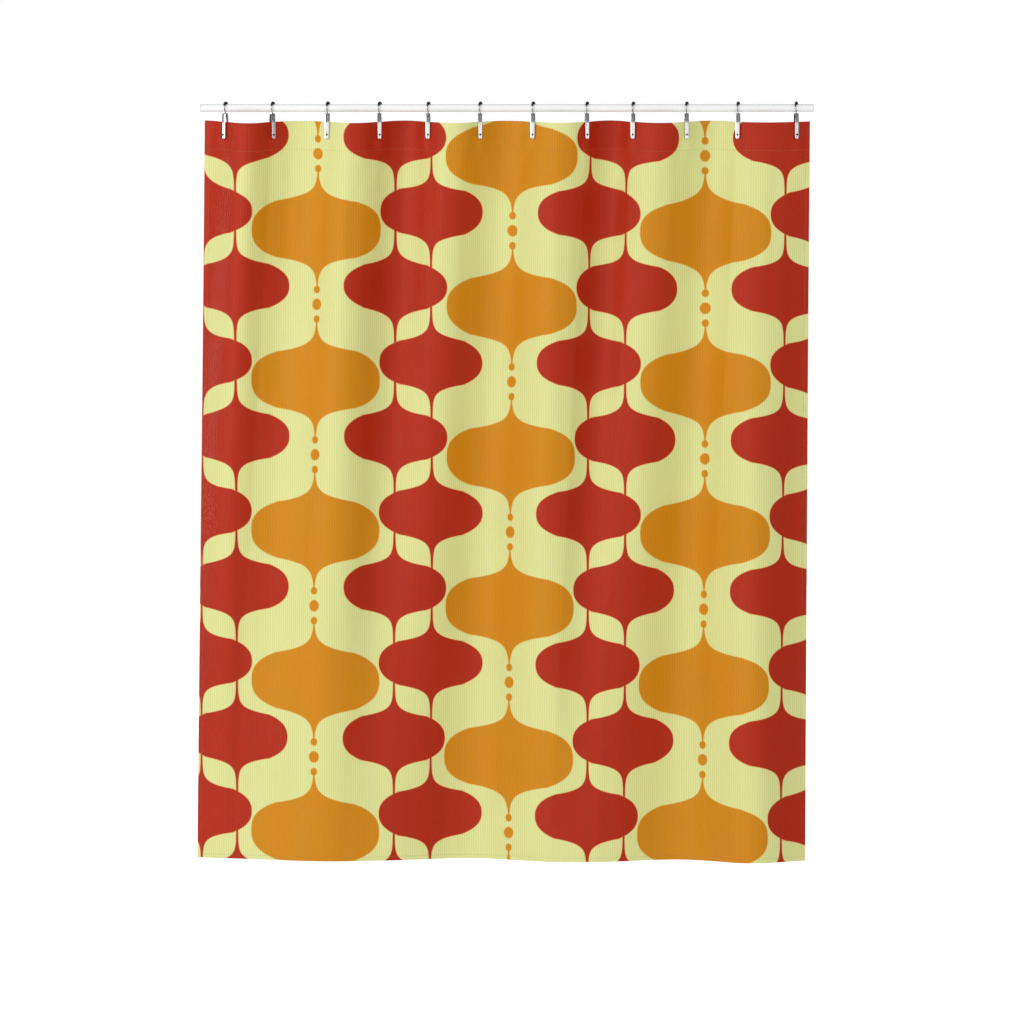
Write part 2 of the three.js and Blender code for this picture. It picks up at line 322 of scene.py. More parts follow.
class Value:
    """A number that varies over a surface, with Python's operators."""

    def __init__(self, shader, socket):
        self.shader = shader
        self.socket = socket

    def clamped(self):
        return self.most(0).least(1)

    def from_nearest(self, step):
        """Distance to the nearest whole multiple of a step."""
        return abs(self - ((self / step + 0.5).floor()) * step)


def worked_out(operation, reflected=False):
    """A method that adds the Math node of an operation."""

    def method(value, *others):
        terms = (*others, value) if reflected else (value, *others)
        return value.shader.maths(operation, *terms)

    return method


for name, operation in {
    "add": "ADD", "sub": "SUBTRACT", "mul": "MULTIPLY", "truediv": "DIVIDE", "pow": "POWER",
}.items():
    setattr(Value, f"__{name}__", worked_out(operation))
    setattr(Value, f"__r{name}__", worked_out(operation, reflected=True))
for name, operation in {
    "__abs__": "ABSOLUTE", "least": "MINIMUM", "most": "MAXIMUM", "above": "GREATER_THAN",
    "root": "SQRT", "exponent": "EXPONENT", "sine": "SINE", "floor": "FLOOR",
}.items():
    setattr(Value, name, worked_out(operation))


class Shader:
    """One material or world, built node by node."""

    def __init__(self, tree):
        self.tree = tree
        tree.nodes.clear()

    def add(self, kind, settings=None, sockets=None):
        node = self.tree.nodes.new(kind)
        for key, value in (settings or {}).items():
            setattr(node, key, value)
        for key, value in (sockets or {}).items():
            if isinstance(value, Value):
                value = value.socket
            if isinstance(value, bpy.types.NodeSocket):
                self.tree.links.new(value, node.inputs[key])
            else:
                node.inputs[key].default_value = value
        return node

    def maths(self, operation, *terms):
        node = self.add("ShaderNodeMath", {"operation": operation}, dict(enumerate(terms)))
        return Value(self, node.outputs[0])

    def mix(self, share, first, second):
        """One colour over another by a share."""
        first, second = ((*tone, 1) if isinstance(tone, tuple) else tone for tone in (first, second))
        node = self.add("ShaderNodeMix", {"data_type": "RGBA"}, {0: share, 6: first, 7: second})
        return node.outputs[2]

    def shade(self, tone, amount):
        """A colour made darker or lighter by a factor that varies."""
        factor = self.add("ShaderNodeCombineXYZ", None, {0: amount, 1: amount, 2: amount})
        node = self.add("ShaderNodeVectorMath", {"operation": "MULTIPLY"}, {0: tone, 1: factor.outputs[0]})
        return node.outputs[0]

    def noise(self, place, scale, detail):
        node = self.add("ShaderNodeTexNoise", None, {"Vector": place, "Scale": scale, "Detail": detail})
        return Value(self, node.outputs["Fac"])

    def stretched(self, place, scale):
        return self.add("ShaderNodeMapping", {"vector_type": "POINT"}, {"Vector": place, "Scale": scale}).outputs[0]

    def bump(self, height, distance):
        """Normals from a height that runs from 0 to 1 over a real distance."""
        node = self.add("ShaderNodeBump", None, {"Height": height, "Distance": distance, "Strength": 1.0})
        return node.outputs[0]

    def surface(self, sockets):
        shader = self.add("ShaderNodeBsdfPrincipled", None, sockets)
        self.add("ShaderNodeOutputMaterial", None, {"Surface": shader.outputs[0]})

    def place(self, kind="Object"):
        return self.add("ShaderNodeTexCoord").outputs[kind]

    def split(self, vector):
        """The three numbers of a place."""
        parts = self.add("ShaderNodeSeparateXYZ", None, {0: vector})
        return [Value(self, part) for part in parts.outputs]


# ---- Finishes ----

FLAT_MAP = "flat_cloth"

# Half outline of a printed lantern: half-width at its middle, half-height of its round body and the power of that
# curve, where the neck takes over, and the neck's thin end, swell, start and fall, all in mm on the flat cloth.
ORANGE_LANTERN = dict(wide=191.8, high=84.6, power=2.6, takeover=75.9, thin=0.6, swell=58.0, start=82.0, fall=15.75)
RED_LANTERN = dict(wide=151.7, high=67.9, power=2.3, takeover=62.2, thin=2.4, swell=78.8, start=57.15, fall=12.45)
FIRST_COLUMN = 337.5 * MM  # across to a column of orange lanterns
FIRST_LANTERN = 271 * MM  # down to the middle of one of its lanterns
RED_SIDE = 235 * MM  # from a column of orange lanterns to the red columns beside it
RED_DROP = 144 * MM  # from the middle of an orange lantern down to that of a red one
ORANGE_NECK_END = 148 * MM  # from a lantern's middle to where its neck stops short of the beads
BEAD = 13.9 * MM  # radius of the middle bead of three
SMALL_BEAD = 9.1 * MM
BEAD_GAP = 37.8 * MM  # between the middles of two beads
EDGE_SOFTNESS = 0.35 * MM
FEATHERING = 0.5 * MM  # how far the ink wanders at an edge
OUTLINE_WIDTH = 1.6 * MM  # rim round each printed shape, where the inks lie over each other
RED_RIM = (0.72, 0.34, 0.12)
ORANGE_RIM = (0.72, 0.48, 0.11)
BARE_CLOTH = (0.8, 0.8, 0.8)
RIGHT_SIDE_INK = 1.0
WRONG_SIDE_INK = 0.8
THREAD_PITCHES = (0.9 * MM, 0.8 * MM)  # across and down the weave


def lantern_half_width(rise, outline):
    """Half-width at a height above or below the middle: the round body or the neck, whichever is narrower."""
    body = 1 - (rise / (outline["high"] * MM)) ** outline["power"]
    body = body.most(0).root() * (outline["wide"] * MM) + rise.above(outline["takeover"] * MM)
    neck = ((outline["start"] * MM - rise) / (outline["fall"] * MM)).exponent() * (outline["swell"] * MM)
    return body.least(neck + outline["thin"] * MM)


def lantern(beside, rise, outline):
    """How far inside a lantern's edge a place is, in metres and negative outside."""
    step = 0.5 * MM  # over which the outline's slope is taken
    half = lantern_half_width(rise, outline)
    slope = (lantern_half_width(rise + step, outline) - half) / step
    return (half - beside) / (slope * slope + 1).root()


def within(edge):
    """1 inside an edge and 0 outside, softened by the weave."""
    return (edge / (2 * EDGE_SOFTNESS) + 0.5).clamped()


def print_edges(across, down, cloth):
    """How far inside the orange and inside the red print a place on the flat cloth is."""
    pitch, repeat = cloth.column_pitch, cloth.repeat
    from_first = (across - FIRST_COLUMN).from_nearest(2 * pitch)
    second = from_first.above(pitch / 2)
    beside = from_first + second * (pitch - 2 * from_first)
    rise = (down - FIRST_LANTERN - second * (repeat / 2)).from_nearest(repeat)

    def bead(radius, gap):
        off = rise - (repeat / 2 - gap)
        return radius - (off * off + beside * beside).root()

    orange = lantern(beside, rise, ORANGE_LANTERN).least(ORANGE_NECK_END - rise)
    orange = orange.most(bead(BEAD, 0)).most(bead(SMALL_BEAD, BEAD_GAP))

    red_rise = (down - FIRST_LANTERN - RED_DROP).from_nearest(repeat)
    other_rise = (down - FIRST_LANTERN - RED_DROP - repeat / 2).from_nearest(repeat)
    red = lantern(abs(from_first - RED_SIDE), red_rise, RED_LANTERN)
    other = lantern(abs(from_first - (pitch - RED_SIDE)), other_rise, RED_LANTERN)
    return orange, red.most(other)


def cloth_finish(shader, cloth, ink):
    """Ribbed polyester with the print, at full strength on the right side and weaker on the wrong side."""
    flat = shader.add("ShaderNodeUVMap", {"uv_map": FLAT_MAP}).outputs[0]
    across, down, _ = shader.split(flat)

    def printed(colour, ground):
        return tuple(ink * strong + (1 - ink) * weak for strong, weak in zip(colour, ground))

    feather = (shader.noise(flat, 900, 1.0) - 0.5) * FEATHERING
    orange, red = print_edges(across + feather, down + feather, cloth)
    tone = ground = printed(cloth.ground, BARE_CLOTH)
    for edge, ink_colour, rim in ((orange, cloth.orange, ORANGE_RIM), (red, cloth.red, RED_RIM)):
        tone = shader.mix(within(edge + OUTLINE_WIDTH), tone, rim)
        tone = shader.mix(within(edge), tone, printed(ink_colour, ground))

    rib = (across * (2 * math.pi / cloth.rib)).sine() * 0.5 + 0.5
    warp, weft = ((way * (2 * math.pi / pitch)).sine() for way, pitch in zip((across, down), THREAD_PITCHES))
    weave = warp * weft * 0.5 + 0.5
    slub = shader.noise(shader.stretched(flat, (900, 60, 1)), 1, 3.0)
    dye = shader.noise(shader.stretched(flat, (7, 3, 1)), 1, 3.0)
    # rib * 0.12 makes the ribs lighter and the grooves between them darker: painted shade in the grooves.
    amount = 0.92 + rib * 0.12 + (weave - 0.5) * 0.03 + (slub - 0.5) * 0.07 + (dye - 0.5) * 0.05
    return {
        "Base Color": shader.shade(tone, amount),
        "Roughness": 0.38 + (slub - 0.5) * 0.10 + (1 - rib) * 0.05,
        "Normal": shader.bump(rib * 0.55 + weave * 0.25 + slub * 0.2, 0.42 * MM),
        "Specular IOR Level": 0.22,
    }


def right_side_finish(shader, scene):
    return cloth_finish(shader, scene.curtain_cloth, RIGHT_SIDE_INK)


def wrong_side_finish(shader, scene):
    return cloth_finish(shader, scene.curtain_cloth, WRONG_SIDE_INK)


def thread_finish(shader, scene):
    twist = shader.noise(shader.stretched(shader.place(), (1800, 1800, 1800)), 1, 2.0)
    # The dark thread colour is partly painted shade for the seam's groove.
    tone = shader.mix(twist, tuple(scene.curtain_cloth.thread_and_seam_shade), (0.46, 0.26, 0.10))
    return {
        "Base Color": shader.shade(tone, 0.85 + twist * 0.25),
        "Roughness": 0.45 + twist * 0.2,
        "Normal": shader.bump(twist, 0.05 * MM),
    }


def chrome_finish(shader, scene):
    """Bright plating with faint drawing lines down the strip and a few duller smudges."""
    place = shader.place()
    lines = shader.noise(shader.stretched(place, (2600, 2600, 45)), 1, 2.0)
    dull = ((shader.noise(place, 190, 3.0) - 0.5) * 4).clamped()
    return {
        "Base Color": shader.shade(tuple(scene.curtain_hooks.chrome), 0.94 + lines * 0.08),
        "Metallic": 1.0,
        "Roughness": 0.11 + lines * 0.06 + dull * 0.10,
        "Normal": shader.bump(lines, 0.006 * MM),
    }


def pin_finish(shader, scene):
    """Very dark metal of the pins, partly painted shade for the dimples of their dished heads, brighter in random
    patches of wear.
    """
    wear = shader.noise(shader.place(), 1400, 3.0)
    return {
        # The near-black colour stands in for the shade in the dished heads: painted shade.
        "Base Color": shader.mix(wear, (0.035, 0.036, 0.040), (0.20, 0.20, 0.21)),
        "Metallic": 1.0,
        "Roughness": 0.28 + wear * 0.2,
        "Normal": shader.bump(wear, 0.01 * MM),
    }


def moulded_finish(shader, colour, mottle, grain, roughness, depth):
    """Plastic with a mottled colour and a fine grain.

    The mottle is its scale, detail, least brightness and spread, and the roughness is its least and spread."""
    place = shader.place()
    scale, detail, darkest, spread = mottle
    graining = shader.noise(place, grain, 2.0)
    return {
        "Base Color": shader.shade(tuple(colour), darkest + shader.noise(place, scale, detail) * spread),
        "Roughness": roughness[0] + graining * roughness[1],
        "Normal": shader.bump(graining, depth),
    }


def sleeve_finish(shader, scene):
    colour = scene.curtain_hooks.sleeve_colour
    return moulded_finish(shader, colour, (260, 3.0, 0.8, 0.6), 2600, (0.34, 0.18), 0.03 * MM)


def enamel_finish(shader, scene):
    """White baked enamel with a slight orange peel, and painted shade in grey streaks along its top."""
    place = shader.place()
    height = shader.split(place)[2]
    peel = shader.noise(place, 520, 1.0)
    top_streaks = shader.noise(shader.stretched(place, (9, 1500, 1500)), 1, 3.0)
    # Painted shade: grey streaks darken the enamel along the top of the rod.
    top = ((height / ROD_RADIUS - 0.55) * 3).clamped()
    painted_top_shade = top * ((top_streaks - 0.52) * 6).clamped()
    tint = shader.mix(painted_top_shade, tuple(scene.curtain_rod.enamel), (0.62, 0.62, 0.61))
    return {
        "Base Color": shader.shade(tint, 0.98 + peel * 0.03),
        "Roughness": 0.22 + painted_top_shade * 0.25 + peel * 0.05,
        "Normal": shader.bump(peel * 0.8 + top_streaks * top * 0.2, 0.04 * MM),
        "Specular IOR Level": 0.35,
        "Coat Weight": 0.1,
        "Coat Roughness": 0.1,
    }


def plug_finish(shader, scene):
    return moulded_finish(shader, scene.curtain_rod.plug, (60, 2.0, 0.96, 0.06), 1900, (0.42, 0.15), 0.04 * MM)


def floor_finish(shader, scene):
    mottle = shader.noise(shader.place(), 3, 3.0)
    return {
        "Base Color": shader.shade(tuple(scene.curtain_stage.floor), 0.98 + mottle * 0.03),
        "Roughness": 0.6 + mottle * 0.1,
        "Emission Color": (1, 1, 1, 1),
        "Emission Strength": 0.75,
    }


FINISHES = {
    "printed_cloth": right_side_finish,
    "cloth_wrong_side": wrong_side_finish,
    "sewing_thread": thread_finish,
    "hook_chrome": chrome_finish,
    "pin_metal": pin_finish,
    "sleeve_plastic": sleeve_finish,
    "rod_enamel": enamel_finish,
    "plug_plastic": plug_finish,
    "studio_floor": floor_finish,
}


def material_named(name):
    """The material of a finish, made when it is first asked for."""
    found = bpy.data.materials.get(name)
    if found is None or not found.get("curtain_finish"):
        found = bpy.data.materials.new(name)
        found.use_nodes = True
        shader = Shader(found.node_tree)
        shader.surface(FINISHES[name](shader, bpy.context.scene))
        found["curtain_finish"] = True
    return found


def wear_finish(piece, *names):
    piece.data.materials.clear()
    for name in names:
        piece.data.materials.append(material_named(name))


# ---- The hanging cloth ----

FOLD_LEAN = 84 * MM  # the upper folds lean this far to the left by the bottom
HEM_LIFT = 9 * MM  # how far the left corner of the hem is drawn up
HEM_LIFT_FALL = 7 * MM  # how much less the right corner is
FOLD_SAG = 0.2  # a fold's drop over its reach forward
PRINT_SLIP_ACROSS = 20 * MM  # how far the print has slipped to the right at the bottom left
PRINT_SLIP_DOWN = 12.7 * MM  # how far it sits lower along the right side
CREASES_START = 50 * MM  # how far down the creases from the hooks begin
CREASE_REACH = 1.5 * MM
# Faint streaks in the cloth: wavelength and reach in mm, lean and phase
STREAKS = ((41, 0.30, 0.6, 0.3), (59, 0.42, -0.9, 1.9), (83, 0.55, 0.7, 4.1), (127, 0.8, -0.5, 2.6))
ROLL = 0.45 * MM  # radius of the cloth where it turns over at an edge
SLOT_HALF_WIDTH = 2.6 * MM
SLOT_STRAIGHT = 5.6 * MM - SLOT_HALF_WIDTH  # from the middle of a buttonhole to where its end turns round
DRAPE_COLUMNS = 1401
DRAPE_ROWS = 340
CURVE_POINTS = 3001  # along each level before its places are spread evenly
CLOTH_ROWS = 114
CLOTH_COLUMNS = 306


def fade(place, start, span):
    return np.exp(-(np.maximum(place - start, 0) / span) ** 2)


def top_fold(x, drop):
    """Forward reach of the folds that the hooks gather."""
    gap_index = np.clip(np.searchsorted(HOOK_X, x) - 1, 0, HOOK_COUNT - 2)
    gap = np.diff(HOOK_X)[gap_index]
    bulge = 2 * gap / math.pi * np.sqrt(np.maximum(HOLE_PITCH / gap - 1, 0))
    side = np.where(gap_index % 2 == 0, 1.0, -1.0)
    nearest = np.abs(x[:, None] - HOOK_X[None, :]).min(axis=1)
    link_hold = LINK_EASING * float(fade(drop, CLOTH_TOP - LINK_FOOT, 0.03))
    eased = 1 - link_hold * np.exp(-((nearest / (2 * LINK_REACH)) ** 2))
    return side * eased * bulge * np.sin(math.pi * (x - HOOK_X[gap_index]) / gap)


def hem_fold(x):
    """Forward reach of the broad folds at the bottom."""
    shares, reach = np.array(HEM_FOLDS, float).T
    reach = reach * MM
    slopes = np.gradient(reach, shares)
    share = np.clip((x + CLOTH_RIGHT) / (2 * CLOTH_RIGHT), 0, 1)
    i = np.clip(np.searchsorted(shares, share) - 1, 0, len(shares) - 2)
    span = shares[i + 1] - shares[i]
    t = (share - shares[i]) / span
    return (
        (1 + 2 * t) * (1 - t) ** 2 * reach[i]
        + t * (1 - t) ** 2 * span * slopes[i]
        + t * t * (3 - 2 * t) * reach[i + 1]
        + t * t * (t - 1) * span * slopes[i + 1]
    )


def creases(x, drop):
    """Small creases that run down from the hooks, and faint streaks further down."""
    forward = np.zeros_like(x)
    below = drop - CREASES_START
    if below > 0:
        strength = CREASE_REACH * (1 - math.exp(-below / 0.04)) * math.exp(-((below / 0.2) ** 2))
        for k, hook in enumerate(HOOK_X):
            for side, slant in ((-1, 0.28 + 0.05 * math.sin(3 * k)), (1, 0.22 + 0.06 * math.cos(5 * k))):
                line = hook + side * (8 * MM + slant * below)
                forward += side * strength * np.exp(-(((x - line) / (10 * MM + 0.05 * below)) ** 2))
    streaks = 0
    for wavelength, size, lean, phase in STREAKS:
        angle = 2 * math.pi * (x / (wavelength * MM)) + lean * math.sin(4 * drop + phase) * 2 + phase
        streaks = streaks + size * MM * np.sin(angle)
    strongest = 0.35 + 0.65 * math.exp(-((drop - 0.25) / 0.35) ** 2)
    return forward + streaks * strongest * (1 - math.exp(-drop / 0.05))


def without_trend(gain):
    """What is left of a curve, 0 at both ends, when its slow changes across the cloth are taken out."""
    reach = 300  # places to each side that make up the slow change
    padded = np.concatenate([-gain[reach:0:-1], gain, -gain[-2:-reach - 2:-1]])
    window = np.hanning(2 * reach + 1)
    return gain - np.convolve(padded, window / window.sum(), mode="valid")


class Drape:
    """The hanging cloth as a surface over its flat coordinates."""

    def __init__(self, cloth):
        self.cloth = cloth
        self.width, self.length = cloth.width, cloth.drop
        self.across = np.linspace(0, self.width, DRAPE_COLUMNS)
        seams = [cloth.header, self.length - cloth.foot]
        near = [seam + off * MM for seam in seams for off in (-9, -6, -4, -2.5, -1.2, 0, 1.2, 2.5, 4, 6, 9)]
        rows = np.concatenate([self.length * np.linspace(0, 1, DRAPE_ROWS) ** 1.25, near])
        self.drops = np.unique(np.clip(rows, 0, self.length))
        x = np.linspace(-CLOTH_RIGHT, CLOTH_RIGHT, CURVE_POINTS)
        hem = hem_fold(x)
        self.points = np.array([self.row(x, hem, drop) for drop in self.drops])
        over = np.gradient(self.points, self.across, axis=1)
        down = np.gradient(self.points, self.drops, axis=0)
        normals = np.cross(over, down)
        self.backward = normals / np.linalg.norm(normals, axis=2, keepdims=True)

    def row(self, x, hem, drop):
        """One level of the cloth, with its places spread evenly along its curve."""
        share = drop / self.length
        turn = share * HEM_FOLD_SHARE * math.pi / 2
        upper = top_fold(x + FOLD_LEAN * share, drop)
        forward = math.cos(turn) * upper + math.sin(turn) * hem + creases(x, drop)
        arc = np.concatenate([[0], np.cumsum(np.hypot(np.diff(x), np.diff(forward)))])
        even = (x - x[0]) / (x[-1] - x[0])
        place = np.interp(self.across / self.width, even + without_trend(arc / arc[-1] - even), x)
        forward = np.interp(place, x, forward) + self.puckers(drop)
        lift = share * (HEM_LIFT - HEM_LIFT_FALL * self.across / self.width)
        sag = FOLD_SAG * np.interp(place, x, upper) * float(fade(drop, 0, 0.35))
        spread = place * (1 + SIDE_SPREAD / CLOTH_RIGHT * share) - SIDE_DRIFT * share
        return np.stack([spread, CLOTH_PLANE - forward, CLOTH_TOP - drop - sag + lift], axis=1)

    def puckers(self, drop):
        """Where the seams draw the cloth in."""
        seams = [(drop - self.cloth.header, self.across), (drop - self.length + self.cloth.foot, self.across)]
        sides = [self.across - self.cloth.side, self.across - self.width + self.cloth.side]
        draw = np.zeros_like(self.across)
        for off, along in seams + [(side, drop) for side in sides]:
            wave = np.sin(2 * math.pi * along / (17 * MM)) + 0.6 * np.sin(2 * math.pi * along / (29 * MM) + 1)
            draw = draw - 0.35 * MM * np.exp(-((off / (2.2 * MM)) ** 2))
            draw = draw + 0.16 * MM * wave * np.exp(-((off / (8 * MM)) ** 2))
        return draw

    def at(self, across, down, back=0.0):
        """Points of the cloth, set back from its middle surface."""
        across, down, back = np.broadcast_arrays(
            np.asarray(across, float), np.asarray(down, float), np.asarray(back, float)
        )
        i = np.interp(down, self.drops, np.arange(len(self.drops)))
        j = np.interp(across, self.across, np.arange(len(self.across)))
        i0 = np.clip(i.astype(int), 0, len(self.drops) - 2)
        j0 = np.clip(j.astype(int), 0, len(self.across) - 2)
        fi, fj = (i - i0)[..., None], (j - j0)[..., None]

        def blend(table):
            upper = table[i0, j0] * (1 - fj) + table[i0, j0 + 1] * fj
            lower = table[i0 + 1, j0] * (1 - fj) + table[i0 + 1, j0 + 1] * fj
            return upper * (1 - fi) + lower * fi

        return blend(self.points) + back[..., None] * blend(self.backward)

    def across_at(self, x, down):
        """Flat place of a point of the cloth at a level."""
        level = self.at(self.across, down)
        return float(np.interp(x, level[:, 0], self.across))


DRAPES = {}


def drape(context):
    if "cloth" not in DRAPES:
        DRAPES["cloth"] = Drape(context.scene.curtain_cloth)
    return DRAPES["cloth"]


def rolled(stops, size):
    """Flat places from one edge to the other, with the cloth turned over backwards at both edges.

    Each is (place, depth behind the cloth, place on the unrolled cloth)."""
    steps = 3
    tail = 1.0 * MM
    edge = [(ROLL + tail, 2 * ROLL, ROLL - math.pi * ROLL - tail)]
    for k in range(steps):
        angle = math.pi * (1 - k / steps)
        edge.append((ROLL - ROLL * math.sin(angle), ROLL - ROLL * math.cos(angle), ROLL - ROLL * angle))
    middle = [(stop, 0.0, stop) for stop in stops]
    far = [(size - place, depth, size - unrolled) for place, depth, unrolled in reversed(edge)]
    return np.array(edge + middle + far)


def mesh_object(name, points, faces, flat=None):
    mesh = bpy.data.meshes.new(name)
    mesh.from_pydata([tuple(p) for p in points], [], faces)
    if flat is not None:
        layer = mesh.uv_layers.new(name=FLAT_MAP)
        corners = np.empty(len(mesh.loops), int)
        mesh.loops.foreach_get("vertex_index", corners)
        layer.data.foreach_set("uv", np.asarray(flat, np.float32)[corners].ravel())
    piece = bpy.data.objects.new(name, mesh)
    bpy.context.scene.collection.objects.link(piece)
    return piece


def grid_faces(rows, columns, facing_front):
    faces = []
    for i in range(rows - 1):
        for a in range(i * columns, (i + 1) * columns - 1):
            quad = (a, a + columns, a + columns + 1, a + 1)
            faces.append(quad if facing_front else quad[::-1])
    return faces


def tube_faces(rings, sides, first=0, closed=False):
    """Faces of a tube from ring to ring, with its ends capped unless it closes on itself."""
    faces = []
    for ring in range(rings if closed else rings - 1):
        here, there = first + ring * sides, first + (ring + 1) % rings * sides
        for side in range(sides):
            beside = (side + 1) % sides
            faces.append((here + side, there + side, there + beside, here + beside))
    if not closed:
        last = first + (rings - 1) * sides
        faces.append(tuple(range(first, first + sides)))
        faces.append(tuple(range(last + sides - 1, last - 1, -1)))
    return faces


def printed_place(flat):
    """Where flat cloth falls on the print, which was laid a little askew on it."""
    cloth = bpy.context.scene.curtain_cloth
    across, down = flat[..., 0] / cloth.width, flat[..., 1] / cloth.drop
    slip_across = PRINT_SLIP_ACROSS * down * (1 - 1.3 * across)
    slip_down = PRINT_SLIP_DOWN * (across * (0.8 + 0.3 * down) + 0.45 * down)
    return flat - np.stack([slip_across, slip_down], axis=2)


def sheet_piece(name, points, flat, facing_front, thickness):
    """A layer of cloth with its right side one way and its wrong side the other."""
    rows, columns = points.shape[:2]
    faces = grid_faces(rows, columns, facing_front)
    flat = printed_place(flat)
    piece = mesh_object(name, points.reshape(-1, 3), faces, flat.reshape(-1, 2))
    wear_finish(piece, "printed_cloth", "cloth_wrong_side")
    apply(
        piece, "SOLIDIFY", thickness=thickness, offset=0.0, use_even_offset=False, use_rim=True,
        material_offset=1, material_offset_rim=0,
    )
    piece.data.shade_smooth()
    return piece


def buttonhole_cutter(cloth_surface, down):
    """One cutter for the upright slots behind all the clips."""
    cutters = []
    for number, x in enumerate(HOOK_X, start=1):
        place = cloth_surface.at(cloth_surface.across_at(x, down), down)
        drill_bit(20, SLOT_HALF_WIDTH, 24 * MM, place, QUARTER_TURN_X)
        cutter = begin(f"slot_cutter_{number:02d}")
        for way in (1, -1):
            pick(cutter, lambda p: way * (p.z - place[2]) > 1e-5)
            bpy.ops.transform.translate(value=(0, 0, way * SLOT_STRAIGHT))
        bpy.ops.object.mode_set(mode="OBJECT")
        cutters.append(cutter)
    return join(cutters)


def hang(piece, *nodes):
    """Lets a piece swing with the curtain."""
    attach(piece, "curtain")
    if nodes:
        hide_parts(*nodes)
    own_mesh(piece)


class CURTAIN_OT_hems(bpy.types.Operator):
    """Sew the header, bottom and side hems behind the cloth"""

    bl_idname = "curtain.hems"
    bl_label = "Hems"

    def execute(self, context):
        cloth, surface = context.scene.curtain_cloth, drape(context)
        width, drop = cloth.width, cloth.drop
        inner = ROLL + 1.2 * MM
        lap = 1.5 * MM  # cloth beyond the stitching
        header_end, foot_start = cloth.header + lap, drop - cloth.foot - lap

        def spaced(*runs):
            return np.concatenate([np.linspace(*run) for run in runs])

        across = spaced((inner, width - inner, 300))
        header = spaced((inner, cloth.header - 3 * MM, 14), (cloth.header, header_end, 3))
        foot = spaced((foot_start, drop - cloth.foot, 3), (drop - 7 * MM, drop - inner, 4))
        between = spaced((header_end + 0.3 * MM, foot_start - 0.3 * MM, 150))
        left = spaced((inner, 9 * MM, 4), (cloth.side, cloth.side + lap, 3))
        plans = {
            "header_hem_cloth": ("header_hem", across, header, lambda u, v: (u, -v)),
            "bottom_hem_cloth": ("bottom_hem", across, foot, lambda u, v: (u, 2 * drop - v)),
            "left_hem_cloth": ("left_side_hem", left, between, lambda u, v: (-u, v)),
            "right_hem_cloth": ("right_side_hem", width - left[::-1], between, lambda u, v: (2 * width - u, v)),
        }
        for name, (node, columns, rows, turned) in plans.items():
            u, v = np.meshgrid(columns, rows)
            points = surface.at(u, v, 2 * ROLL)
            flat = np.stack(np.broadcast_arrays(*turned(u, v)), axis=2)
            piece = sheet_piece(name, points, flat, False, cloth.thickness)
            if name == "header_hem_cloth":
                cut_away(piece, buttonhole_cutter(surface, CLOTH_TOP - PIN_HEIGHT))
            hang(piece, node)
        return {"FINISHED"}


class CURTAIN_OT_stitches(bpy.types.Operator):
    """Sew the hems with rows of stitches seen on both sides"""

    bl_idname = "curtain.stitches"
    bl_label = "Stitches"

    def execute(self, context):
        cloth, surface = context.scene.curtain_cloth, drape(context)
        width, side, head, foot = cloth.width, cloth.side, cloth.header, cloth.drop - cloth.foot
        lines = {
            "header_stitches": ((2 * MM, head), (width - 2 * MM, head)),
            "bottom_stitches": ((2 * MM, foot), (width - 2 * MM, foot)),
            "left_stitches": ((side, head + 3 * MM), (side, foot - 3 * MM)),
            "right_stitches": ((width - side, head + 3 * MM), (width - side, foot - 3 * MM)),
        }
        for name, (start, end) in lines.items():
            piece = self.row_of_stitches(name, surface, cloth, np.array(start), np.array(end))
            wear_finish(piece, "sewing_thread")
            piece.data.shade_smooth()
            hang(piece)
        return {"FINISHED"}

    def row_of_stitches(self, name, surface, cloth, start, end):
        sides, radius = 5, cloth.thread / 2
        count = int(np.linalg.norm(end - start) / cloth.stitch)
        half_layer = cloth.thickness / 2
        profile = ((0.06, -0.45), (0.30, 0.62), (0.70, 0.62), (0.94, -0.45))  # share of a stitch, radii proud
        points, faces = [], []
        for face_back, outward in ((-half_layer, -1), (2 * ROLL + half_layer, 1)):
            for k in range(count):
                flat = [start + (end - start) * (k + share) / count for share, _ in profile]
                u, v = zip(*flat)
                backs = [face_back + outward * proud * radius for _, proud in profile]
                line = surface.at(u, v, backs)
                beyond = surface.at(u, v, [back + 1 * MM for back in backs])
                along = line[-1] - line[0]
                along = along / np.linalg.norm(along)
                faces += tube_faces(len(profile), sides, len(points))
                for place, normal in zip(line, (beyond - line) / MM):
                    beside = np.cross(along, normal)
                    for s in range(sides):
                        angle = 2 * math.pi * s / sides
                        points.append(place + radius * (math.cos(angle) * normal + math.sin(angle) * beside))
        return mesh_object(name, points, faces)


